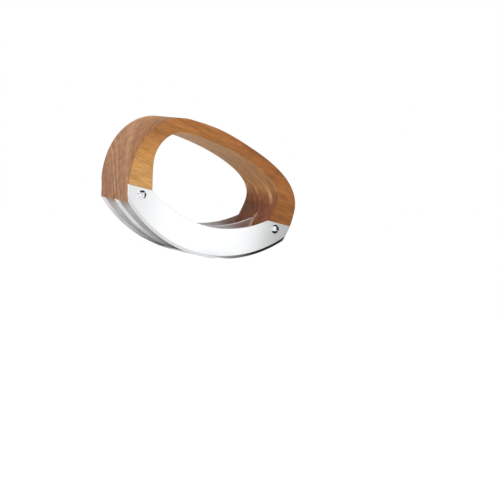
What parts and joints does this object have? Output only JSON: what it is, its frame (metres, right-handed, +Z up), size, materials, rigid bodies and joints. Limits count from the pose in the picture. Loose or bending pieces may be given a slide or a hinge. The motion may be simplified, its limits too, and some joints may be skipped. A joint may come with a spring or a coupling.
{
  "type": "mezzaluna",
  "caption": "Herb chopper: parallel crescent steel blades let into the feet of a lopsided hardwood arch handle with a large finger hole, held by domed rivets.",
  "frame": {"origin": "bottom centre of the bounding box: under the lowest point of the cutting edges, midway between the outer blades and between the rivets", "axes": "+X along the blades, from the tall end of the handle to the low end; +Y across the blades, from the front one to the rear one; +Z up from the cutting edges to the crown"},
  "size_m": [0.148, 0.0504, 0.098],
  "materials": {
    "handle_wood": "oiled acacia, sanded smooth",
    "blade_steel": "satin polished stainless steel",
    "rivet_steel": "polished stainless steel"
  },
  "bodies": {
    "root": {"handle": "handle_wood", "front_blade": "blade_steel", "middle_blade": "blade_steel", "rear_blade": "blade_steel", "left_rivet_socket": "rivet_steel", "left_rivet_pin": "rivet_steel", "right_rivet_socket": "rivet_steel", "right_rivet_pin": "rivet_steel"}
  },
  "joints": []
}
